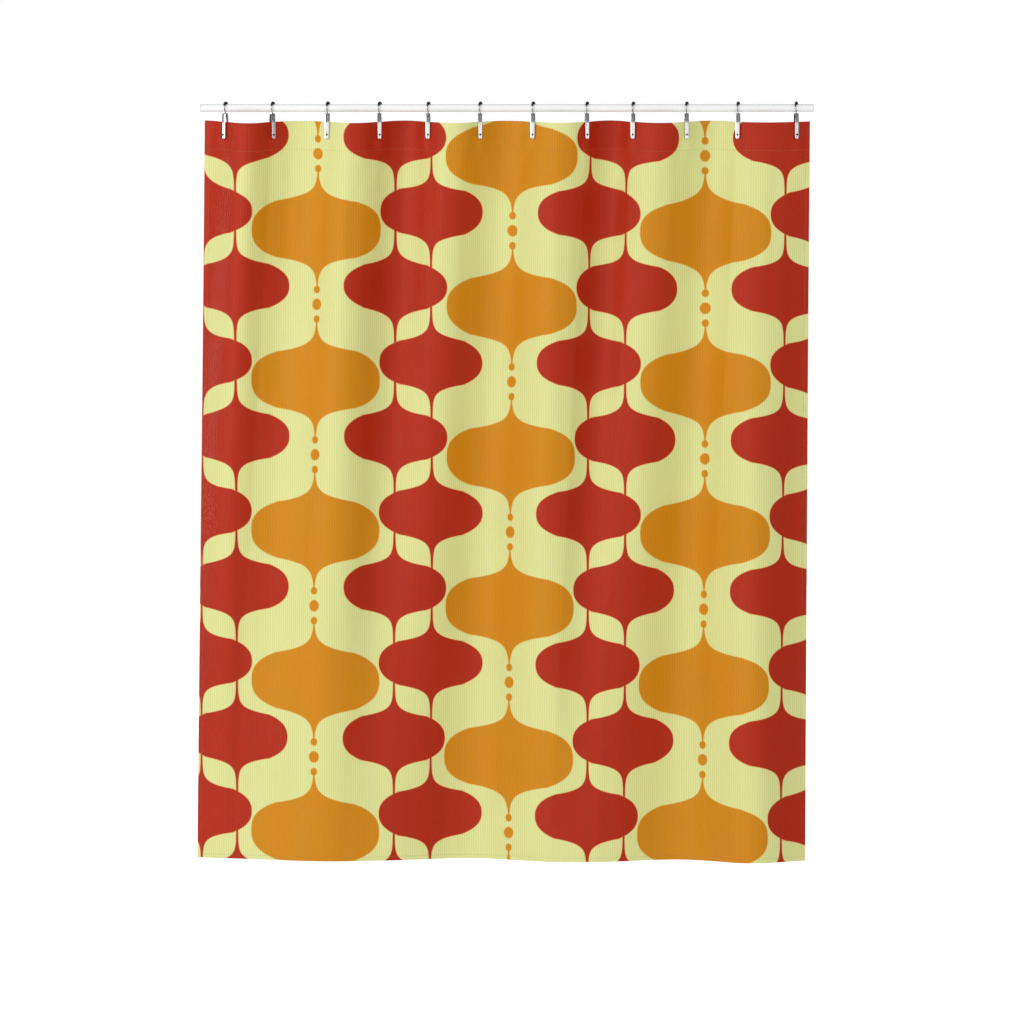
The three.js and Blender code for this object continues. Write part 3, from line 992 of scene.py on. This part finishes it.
class CURTAIN_OT_buttonholes(bpy.types.Operator):
    """Bind each buttonhole with close stitches through both layers of the header"""

    bl_idname = "curtain.buttonholes"
    bl_label = "Buttonholes"

    def execute(self, context):
        cloth, surface = context.scene.curtain_cloth, drape(context)
        down = CLOTH_TOP - PIN_HEIGHT
        steps, sections = 96, 8
        band, proud = 1.7 * MM, 0.28 * MM
        front, back = -cloth.thickness / 2 - proud, 2 * ROLL + cloth.thickness / 2 + proud
        middle, half = (front + back) / 2, (back - front) / 2
        for number, x in enumerate(HOOK_X, start=1):
            u0 = surface.across_at(x, down)
            scale = self.flat_scale(surface, u0, down)
            u, v, depth = [], [], []
            for k in range(steps):
                angle = 2 * math.pi * k / steps
                across, high = math.sin(angle), math.cos(angle)
                ridge = 0.07 * MM if k % 2 else 0.0
                for section in range(sections):
                    turn = 2 * math.pi * section / sections
                    out = SLOT_HALF_WIDTH - 0.1 * MM + band / 2 * (1 + math.cos(turn))
                    u.append(u0 + scale * (out + ridge) * across)
                    v.append(down - (out + ridge) * high - math.copysign(SLOT_STRAIGHT, high))
                    depth.append(middle + (half - ridge) * math.sin(turn))
            faces = tube_faces(steps, sections, closed=True)
            piece = mesh_object(f"hook_{number:02d}_buttonhole", surface.at(u, v, depth), faces)
            use(piece)
            bpy.ops.object.mode_set(mode="EDIT")
            finish_shape(piece)
            wear_finish(piece, "sewing_thread")
            piece.data.shade_smooth()
            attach(piece, f"hook_{number:02d}")
        return {"FINISHED"}

    def flat_scale(self, surface, across, down):
        """Flat cloth per metre across as it hangs, where a buttonhole is."""
        near = surface.at([across - MM, across + MM], down)
        return 2 * MM / abs(float(near[1][0] - near[0][0]))


class CURTAIN_OT_cloth(bpy.types.Operator):
    """Hang the printed cloth panel in its folds"""

    bl_idname = "curtain.cloth"
    bl_label = "Cloth"

    def execute(self, context):
        cloth, surface = context.scene.curtain_cloth, drape(context)
        width, drop = cloth.width, cloth.drop
        seams = [cloth.header + off * MM for off in (-5, -2.5, 0, 2.5, 5)]
        seams += [drop - cloth.foot + off * MM for off in (-4, -2, 0, 2, 4)]
        rows = drop * np.linspace(ROLL / drop, 1 - ROLL / drop, CLOTH_ROWS) ** 1.15  # closer together at the top
        rows = rows[np.abs(rows[:, None] - np.array(seams)[None, :]).min(axis=1) > 1.2 * MM]
        rows = np.sort(np.concatenate([rows, seams, [ROLL]]))
        side = cloth.side
        edge = [ROLL, 4 * MM, 8 * MM, side - 2 * MM, side, side + 2 * MM]
        columns = np.concatenate([edge, np.linspace(side + 6 * MM, width - side - 6 * MM, CLOTH_COLUMNS)])
        columns = np.concatenate([columns, [width - place for place in reversed(edge)]])
        columns, rows = rolled(columns, width), rolled(rows, drop)
        u, v = np.meshgrid(columns[:, 0], rows[:, 0])
        depth = columns[None, :, 1] + rows[:, None, 1]
        flat = np.stack(np.broadcast_arrays(columns[None, :, 2], rows[:, None, 2]), axis=2)
        piece = sheet_piece("curtain_cloth", surface.at(u, v, depth), flat, True, cloth.thickness)
        cut_away(piece, buttonhole_cutter(surface, CLOTH_TOP - PIN_HEIGHT))
        hang(piece, "curtain_panel")
        return {"FINISHED"}


# ---- Hooks ----

# degrees round the rod from straight up, positive to the front
WIRE_TAIL = -102
WIRE_LEAVE = 145
SLEEVE_START = -38
SLEEVE_END = 58
FOOT_RADIUS = 3.5 * MM  # head at the foot of each wire
HOLE_ROOM = 0.3 * MM  # between a clip's hole and what goes through it


def round_the_rod(radius, degrees):
    angle = math.radians(degrees)
    return Vector((0, -radius * math.sin(angle), radius * math.cos(angle)))


class CURTAIN_OT_wires(bpy.types.Operator):
    """Bend the wire of each hook over the rod and down through its clip"""

    bl_idname = "curtain.wires"
    bl_label = "Hook wires"

    def execute(self, context):
        hooks = context.scene.curtain_hooks
        radius = hooks.wire / 2
        bend = ROD_RADIUS + CLEARANCE + hooks.sleeve / 2
        start = round_the_rod(bend, WIRE_TAIL)
        wire = begin_ring("hook_wire_model", 14, radius, start, (math.radians(WIRE_TAIL + 90), 0, 0))
        forwards = Vector((0, -math.cos(math.radians(WIRE_TAIL)), -math.sin(math.radians(WIRE_TAIL))))

        spin(WIRE_LEAVE - WIRE_TAIL, 44, (0, 0, 0))
        leave = round_the_rod(bend, WIRE_LEAVE)
        turn = math.radians(WIRE_LEAVE - 90)
        small = (CLOTH_PLANE - leave.y) / (1 - math.cos(turn))
        level = leave.z - small * math.sin(turn)
        spin(-math.degrees(turn), 8, (0, CLOTH_PLANE - small, level))

        seat = LINK_TOP - hooks.strip - CLEARANCE
        head = [
            (level - seat, radius),
            (0, FOOT_RADIUS - 0.25 * MM),
            (0.25 * MM, FOOT_RADIUS),
            (0.9 * MM, FOOT_RADIUS),
            (0.25 * MM, FOOT_RADIUS - 0.25 * MM),
            (0.1 * MM, FOOT_RADIUS - 0.9 * MM),
        ]
        grow(head, radius, (0, CLOTH_PLANE, level), (0, 0, -1))
        bpy.ops.mesh.edge_face_add()

        pick(wire, lambda p: (p - start).length < 1.02 * radius)
        grow([(0.45 * radius, 0.88 * radius), (0.4 * radius, 0.5 * radius)], radius, start, -forwards)
        bpy.ops.mesh.edge_face_add()
        finish_shape(wire)
        smooth(wire, 40)
        wear_finish(wire, "hook_chrome")
        repeat_at_hooks(wire, "bent_wire", [WIRE_TURN] * HOOK_COUNT, "hook_{:02d}_wire", "hook_{:02d}")
        return {"FINISHED"}


class CURTAIN_OT_sleeves(bpy.types.Operator):
    """Slide a dark sleeve over each wire where it runs on the rod"""

    bl_idname = "curtain.sleeves"
    bl_label = "Hook sleeves"

    def execute(self, context):
        hooks = context.scene.curtain_hooks
        start = round_the_rod(ROD_RADIUS + CLEARANCE + hooks.sleeve / 2, SLEEVE_START)
        turn = (math.radians(SLEEVE_START + 90), 0, 0)
        sleeve = begin_ring("hook_sleeve_model", 20, hooks.sleeve / 2, start, turn)
        spin(SLEEVE_END - SLEEVE_START, 18, (0, 0, 0))
        finish_shape(sleeve)
        apply(sleeve, "SOLIDIFY", thickness=hooks.sleeve / 2 - hooks.wire / 2 - 0.25 * MM, offset=-1.0)
        round_edges(sleeve, 0.45 * MM)
        smooth(sleeve, 50)
        wear_finish(sleeve, "sleeve_plastic")
        repeat_at_hooks(
            sleeve, "roller_sleeve", [WIRE_TURN] * HOOK_COUNT, "hook_{:02d}_sleeve", "hook_{:02d}"
        )
        return {"FINISHED"}


class CURTAIN_OT_clips(bpy.types.Operator):
    """Fold a grooved strip over the top of the cloth at each hook"""

    bl_idname = "curtain.clips"
    bl_label = "Clips"

    def execute(self, context):
        hooks = context.scene.curtain_hooks
        half = LINK_DEPTH / 2
        front = CLOTH_PLANE - half
        width = hooks.strip_width
        deselect()
        bpy.ops.mesh.primitive_grid_add(
            x_subdivisions=10, y_subdivisions=1, size=1, location=(0, front, LINK_FOOT), rotation=QUARTER_TURN_X
        )
        clip = begin("hook_clip_model")
        resize(width, 1, 0.2 * MM, (0, front, LINK_FOOT))
        bpy.ops.transform.translate(value=(0, 0, 0.1 * MM))
        self.shape_foot(clip, front, width)
        spin(-90, 7, (0, front + LINK_CORNER, LINK_TOP - LINK_CORNER))
        extrude(0, half - LINK_CORNER, 0)
        self.press_groove(clip, front, width)
        finish_shape(clip)

        apply(
            clip, "MIRROR", use_axis=(False, True, False), use_clip=False, use_mirror_merge=True,
            merge_threshold=1e-5, mirror_object=self.mirror_plane(),
        )
        bpy.data.objects.remove(bpy.data.objects["clip_mirror_plane"])
        bpy.ops.object.mode_set(mode="EDIT")
        finish_shape(clip, 1e-5)
        self.face_outwards(clip)
        apply(clip, "SOLIDIFY", thickness=hooks.strip, offset=-1.0, use_even_offset=True)
        round_edges(clip, 0.32 * MM)
        through = drill_bit(28, hooks.pin / 2 + HOLE_ROOM, 2 * LINK_DEPTH, (0, CLOTH_PLANE, PIN_HEIGHT), QUARTER_TURN_X)
        stem = drill_bit(28, hooks.wire / 2 + HOLE_ROOM, 10 * MM, (0, CLOTH_PLANE, LINK_TOP))
        cut_away(clip, join([through, stem]))
        smooth(clip, 38)
        wear_finish(clip, "hook_chrome")
        repeat_at_hooks(clip, "clip", LINK_TURNS, "hook_{:02d}_link", "link_{:02d}")
        return {"FINISHED"}

    def shape_foot(self, clip, front, width):
        """Extrudes the leg up from its rounded foot, a little narrower at the bottom."""
        pick(clip, lambda p: p.z > LINK_FOOT + 0.1 * MM)
        foot_round = 4.2 * MM
        bottom = 0.90
        tapered = 26 * MM  # height of the part that narrows
        here = LINK_FOOT + 0.2 * MM

        def width_at(height):
            taper = bottom + (1 - bottom) * min(height / tapered, 1)
            if height >= foot_round:
                return taper
            flat = width * bottom / 2 - foot_round
            drop = foot_round - height
            return (flat + math.sqrt(foot_round ** 2 - drop ** 2)) / (width / 2) * taper / bottom

        now = 1.0
        heights = [0.2, 0.5, 0.9, 1.4, 2.0, 2.8, 3.5, 4.2, 8, 14, 20, 26, 40, 44]
        for height in [*heights, (LINK_TOP - LINK_CORNER - LINK_FOOT) / MM]:
            if height > 0.2:
                extrude(0, 0, LINK_FOOT + height * MM - here)
                here = LINK_FOOT + height * MM
            wanted = width_at(height * MM)
            resize(wanted / now, 1, 1, (0, front, here))
            now = wanted
        pick(clip, lambda p: p.z < LINK_FOOT + 0.1 * MM)
        resize(max(width_at(0.0), 0.25), 1, 1, (0, front, LINK_FOOT))
        pick(clip, lambda p: p.z > here - 0.01 * MM)

    def press_groove(self, clip, front, width):
        """Sinks a groove down the middle of the strip, lets its edges fall away, and leans its top back."""
        mesh = bmesh.from_edit_mesh(clip.data)
        shoulder, corner_line = LINK_TOP - LINK_CORNER, front + LINK_CORNER
        foot = 3 * MM  # height over which the groove begins
        lean_start = CLOTH_TOP - 3 * MM
        for vertex in mesh.verts:
            place = vertex.co
            share = abs(place.x) / (width / 2)
            inward = 0.32 * MM * math.exp(-((share / 0.2) ** 2)) + 0.55 * MM * share ** 3
            if place.z < LINK_FOOT + foot:
                inward *= max(place.z - LINK_FOOT, 0) / foot
            if place.z <= shoulder:
                way = Vector((0, 1, 0))
            elif place.y > corner_line:
                way = Vector((0, 0, -1))
            else:
                way = Vector((0, corner_line - place.y, shoulder - place.z)).normalized()
            place += way * inward
            lean = CLIP_LEAN * max(min(place.z, shoulder) - lean_start, 0)
            place.y += lean * (CLOTH_PLANE - place.y) / (LINK_DEPTH / 2)
        bmesh.update_edit_mesh(clip.data)

    def mirror_plane(self):
        plane = bpy.data.objects.new("clip_mirror_plane", None)
        plane.location = (0, CLOTH_PLANE, 0)
        bpy.context.scene.collection.objects.link(plane)
        bpy.context.view_layer.update()
        return plane

    def face_outwards(self, clip):
        """The open strip's faces look away from the cloth, so that its wall grows inwards."""
        outward = 0.0
        for face in clip.data.polygons:
            if face.center.z < LINK_TOP - 10 * MM and face.center.y < CLOTH_PLANE:
                outward -= face.normal.y
        if outward < 0:
            clip.data.flip_normals()


class CURTAIN_OT_pins(bpy.types.Operator):
    """Put a pin with dished heads through each clip and buttonhole"""

    bl_idname = "curtain.pins"
    bl_label = "Pins"

    def execute(self, context):
        hooks = context.scene.curtain_hooks
        radius = hooks.pin / 2
        middle = (0, CLOTH_PLANE, PIN_HEIGHT)
        dished_head = [
            (LINK_DEPTH / 2 + 0.05 * MM, radius),
            (0, 2.45 * MM),
            (0.3 * MM, 2.6 * MM),
            (0.4 * MM, 2.5 * MM),
            (0.25 * MM, 2.1 * MM),
            (-0.12 * MM, 1.6 * MM),
            (-0.3 * MM, 1.1 * MM),
        ]
        pin = begin_ring("hook_pin_model", 28, radius, middle, QUARTER_TURN_X)
        for way in (-1, 1):
            pick(pin, lambda p: abs(p.y - CLOTH_PLANE) < 1e-5)
            grow(dished_head, radius, middle, (0, way, 0))
            bpy.ops.mesh.edge_face_add()
        finish_shape(pin)
        smooth(pin, 40)
        wear_finish(pin, "pin_metal")
        repeat_at_hooks(pin, "rivet", LINK_TURNS, "hook_{:02d}_pin", "link_{:02d}")
        return {"FINISHED"}


# ---- Rod ----


class CURTAIN_OT_rod(bpy.types.Operator):
    """Draw the enamelled rod tube with softened ends"""

    bl_idname = "curtain.rod"
    bl_label = "Rod"

    def execute(self, context):
        rod = context.scene.curtain_rod
        radius = rod.diameter / 2
        half = TUBE_HIGH.x
        deselect()
        bpy.ops.mesh.primitive_cylinder_add(
            vertices=96, radius=radius, depth=2 * half - 1 * MM, end_fill_type="NOTHING", rotation=QUARTER_TURN_Y
        )
        tube = begin("rod_shell")
        for way in (-1, 1):
            pick(tube, lambda p: way * p.x > half - 0.6 * MM)
            ends = [(0.3 * MM, radius - 0.08 * MM), (0.2 * MM, radius - 0.25 * MM)]
            grow(ends, radius, (way * (half - 0.5 * MM), 0, 0), (way, 0, 0))
        finish_shape(tube)
        apply(tube, "SOLIDIFY", thickness=rod.wall, offset=-1.0)
        smooth(tube, 30)
        wear_finish(tube, "rod_enamel")
        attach(tube, "rod")
        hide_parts("rod_tube")
        return {"FINISHED"}


class CURTAIN_OT_plugs(bpy.types.Operator):
    """Close both ends of the rod with flanged plugs"""

    bl_idname = "curtain.plugs"
    bl_label = "End plugs"

    def execute(self, context):
        rod = context.scene.curtain_rod
        spigot = rod.diameter / 2 - rod.wall - CLEARANCE
        flange = rod.diameter / 2
        inner_end, tip = (PLUG_INNER_END, 0, 0), spigot - 0.5 * MM
        plug = begin_ring("plug_model", 64, tip, inner_end, QUARTER_TURN_Y, "NGON")
        bpy.ops.mesh.select_mode(type="EDGE")
        bpy.ops.mesh.select_all(action="SELECT")
        bpy.ops.mesh.region_to_loop()
        seat = TUBE_HIGH.x + 0.02 * MM
        outline = [
            (1.0 * MM, spigot),
            (seat - PLUG_INNER_END - 1.0 * MM, spigot),
            (0, flange - 0.4 * MM),
            (0.35 * MM, flange),
            (0.9 * MM, flange),
            (0.4 * MM, flange - 0.35 * MM),
            (0.2 * MM, flange - 1.1 * MM),
            (-0.25 * MM, flange - 2.2 * MM),
            (0, flange - 6.0 * MM),
        ]
        grow(outline, tip, inner_end, (1, 0, 0))
        bpy.ops.mesh.edge_face_add()
        finish_shape(plug)
        smooth(plug, 40)
        wear_finish(plug, "plug_plastic")
        for name, node, turn in (("right_end_plug", "rod_plug_right", 0), ("left_end_plug", "rod_plug_left", math.pi)):
            piece = placed_copy(plug, name, Matrix.Rotation(turn, 4, "Z"))
            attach(piece, "rod")
            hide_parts(node)
        bpy.data.objects.remove(plug)
        return {"FINISHED"}


# ---- Stage ----

LENS = 124.6  # mm, on a sensor 36 mm wide
CAMERA_SIDE = 0.013
CAMERA_HEIGHT = -1.026
KEY_PLACE = (-3.6, -2.6, 0.5)
KEY_AIM = (-0.1, 0, -0.9)
KEY_SIZE = (1.1, 2.4)
FLOOR_SIZE = 80


class CURTAIN_OT_stage(bpy.types.Operator):
    """Set the camera, the pale floor and the soft studio light"""

    bl_idname = "curtain.stage"
    bl_label = "Stage"

    def execute(self, context):
        stage = context.scene.curtain_stage
        self.camera(context, stage)
        self.floor(stage)
        self.key_light(context, stage)
        self.surroundings(context)
        context.scene.view_settings.view_transform = "Standard"
        context.scene.view_settings.look = "None"
        return {"FINISHED"}

    def camera(self, context, stage):
        data = bpy.data.cameras.new("camera")
        data.sensor_width = 36
        data.lens = LENS
        data.clip_end = 200
        camera = bpy.data.objects.new("camera", data)
        camera.location = (CAMERA_SIDE, -stage.distance, CAMERA_HEIGHT)
        camera.rotation_euler = QUARTER_TURN_X
        context.scene.collection.objects.link(camera)
        context.scene.camera = camera

    def floor(self, stage):
        deselect()
        bpy.ops.mesh.primitive_plane_add(size=FLOOR_SIZE, location=(0, 0, -stage.floor_drop))
        floor = begin("studio_floor")
        bpy.ops.mesh.subdivide(number_cuts=7)
        bpy.ops.object.mode_set(mode="OBJECT")
        wear_finish(floor, "studio_floor")
        floor.visible_diffuse = floor.visible_glossy = False

    def key_light(self, context, stage):
        data = bpy.data.lights.new("key_light", "AREA")
        data.shape = "RECTANGLE"
        data.size, data.size_y = KEY_SIZE
        data.energy = stage.key
        light = bpy.data.objects.new("key_light", data)
        light.location = KEY_PLACE
        aim = Vector(KEY_AIM) - light.location
        light.rotation_euler = aim.to_track_quat("-Z", "Y").to_euler()
        context.scene.collection.objects.link(light)

    def surroundings(self, context):
        """White to the camera; to the object, bright in front and dimmer at the sides, behind and overhead."""
        world = bpy.data.worlds.new("studio")
        world.use_nodes = True
        context.scene.world = world
        shader = Shader(world.node_tree)
        right, back, up = shader.split(shader.place("Generated"))

        facing = ((0 - back) * 0.5 + 0.5).clamped()
        soft = 0.74 + facing * facing * 0.66
        dimmer = (
            (((abs(right) - 0.62) * 3.2).clamped(), 0.3),  # the sides
            (((right - 0.35) * 2).clamped(), 0.25),  # the right
            (((up - 0.25) * 1.6).clamped(), 0.4),  # overhead
            (((0 - up - 0.1) * 1.4).clamped(), 0.1),  # below
        )
        for part, loss in dimmer:
            soft = soft * (1 - part * loss)

        level = 1 - ((abs(up - 0.13) - 0.06) * 14).clamped()
        front_panel = level * ((0 - back - 0.68) * 9).clamped() * 1.1
        left_panel = (1 - (abs(right + 0.78) * 12 - 0.6).clamped()) * 3.4
        left_panel = left_panel * (1 - ((abs(up + 0.15) - 0.3) * 10).clamped())
        right_panel = (1 - (abs(right - 0.90) * 10).clamped()) * level * 1.2
        above_and_below = ((abs(up) - 0.75) * 6).clamped() * 0.4
        mirrored = 0.05 + front_panel + left_panel + right_panel + above_and_below

        paths = shader.add("ShaderNodeLightPath")
        seen, glossy = (Value(shader, paths.outputs[name]) for name in ("Is Camera Ray", "Is Glossy Ray"))
        strength = seen + (1 - seen) * (glossy * mirrored + (1 - glossy) * soft)
        light = shader.add("ShaderNodeBackground", None, {"Color": (1, 1, 1, 1), "Strength": strength})
        shader.add("ShaderNodeOutputWorld", None, {"Surface": light.outputs[0]})


class CURTAIN_PT_panel(bpy.types.Panel):
    """Sizes and colours of the curtain, and a button for each of its pieces"""

    bl_idname = "CURTAIN_PT_panel"
    bl_label = "Shower curtain"
    bl_space_type = "VIEW_3D"
    bl_region_type = "UI"
    bl_category = "Curtain"

    def draw(self, context):
        scene = context.scene
        groups = (scene.curtain_rod, scene.curtain_cloth, scene.curtain_hooks, scene.curtain_stage)
        for group in groups:
            box = self.layout.box()
            for key in group.bl_rna.properties.keys():
                if key not in ("rna_type", "name"):
                    box.prop(group, key)
        for operator in OPERATORS:
            self.layout.operator(operator.bl_idname)


GROUPS = {
    "curtain_cloth": CurtainCloth,
    "curtain_hooks": CurtainHooks,
    "curtain_rod": CurtainRod,
    "curtain_stage": CurtainStage,
}
OPERATORS = (
    CURTAIN_OT_stage,
    CURTAIN_OT_rod,
    CURTAIN_OT_plugs,
    CURTAIN_OT_wires,
    CURTAIN_OT_sleeves,
    CURTAIN_OT_clips,
    CURTAIN_OT_pins,
    CURTAIN_OT_hems,
    CURTAIN_OT_stitches,
    CURTAIN_OT_buttonholes,
    CURTAIN_OT_cloth,
)


def register():
    for group in GROUPS.values():
        bpy.utils.register_class(group)
    for name, group in GROUPS.items():
        setattr(bpy.types.Scene, name, bpy.props.PointerProperty(type=group))
    for operator in OPERATORS:
        bpy.utils.register_class(operator)
    bpy.utils.register_class(CURTAIN_PT_panel)


def unregister():
    bpy.utils.unregister_class(CURTAIN_PT_panel)
    for operator in reversed(OPERATORS):
        bpy.utils.unregister_class(operator)
    for name in GROUPS:
        delattr(bpy.types.Scene, name)
    for group in reversed(list(GROUPS.values())):
        bpy.utils.unregister_class(group)


def main():
    register()
    for operator in OPERATORS:
        group, name = operator.bl_idname.split(".")
        getattr(getattr(bpy.ops, group), name)()
    deselect()


if __name__ == "__main__":
    main()
